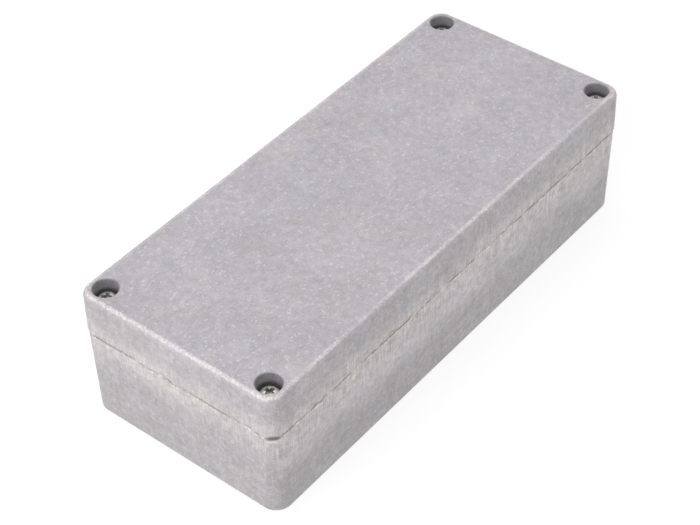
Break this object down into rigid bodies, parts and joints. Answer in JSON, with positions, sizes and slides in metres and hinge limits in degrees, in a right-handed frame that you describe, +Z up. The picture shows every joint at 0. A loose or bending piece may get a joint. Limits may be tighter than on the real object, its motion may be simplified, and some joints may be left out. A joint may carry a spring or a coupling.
{
  "type": "die cast aluminium box",
  "caption": "Rectangular die cast aluminium housing with a deep screwed lid, a rubber seal, corner screw wells and covered wall fixing holes.",
  "frame": {"origin": "middle of the underside, on the surface that the box stands on", "axes": "+X along the length, +Y across the width, +Z up out of the lid"},
  "size_m": [0.165, 0.07, 0.0445],
  "materials": {
    "cast_aluminium": "raw tumbled casting, matt with light wear on the edges",
    "seal_rubber": "soft matt rubber",
    "stainless_steel": "plain stainless steel",
    "washer_steel": "zinc plated steel"
  },
  "bodies": {
    "base_body": {"base": "cast_aluminium", "base_earth_screw": "stainless_steel", "base_earth_washer": "washer_steel"},
    "lid_body": {"lid": "cast_aluminium", "gasket": "seal_rubber", "lid_earth_screw": "stainless_steel", "lid_earth_washer": "washer_steel"},
    "screw_front_left_body": {"lid_screw_front_left": "stainless_steel"},
    "screw_front_right_body": {"lid_screw_front_right": "stainless_steel"},
    "screw_back_left_body": {"lid_screw_back_left": "stainless_steel"},
    "screw_back_right_body": {"lid_screw_back_right": "stainless_steel"}
  },
  "joints": [
    {"name": "lid_lift", "type": "slide", "parent": "base_body", "child": "lid_body", "axis": [0, 0, 1], "range_m": [0, 0.06]},
    {"name": "lid_screw_front_left_out", "type": "slide", "parent": "lid_body", "child": "screw_front_left_body", "axis": [0, 0, 1], "range_m": [0, 0.024]},
    {"name": "lid_screw_front_right_out", "type": "slide", "parent": "lid_body", "child": "screw_front_right_body", "axis": [0, 0, 1], "range_m": [0, 0.024]},
    {"name": "lid_screw_back_left_out", "type": "slide", "parent": "lid_body", "child": "screw_back_left_body", "axis": [0, 0, 1], "range_m": [0, 0.024]},
    {"name": "lid_screw_back_right_out", "type": "slide", "parent": "lid_body", "child": "screw_back_right_body", "axis": [0, 0, 1], "range_m": [0, 0.024]}
  ]
}
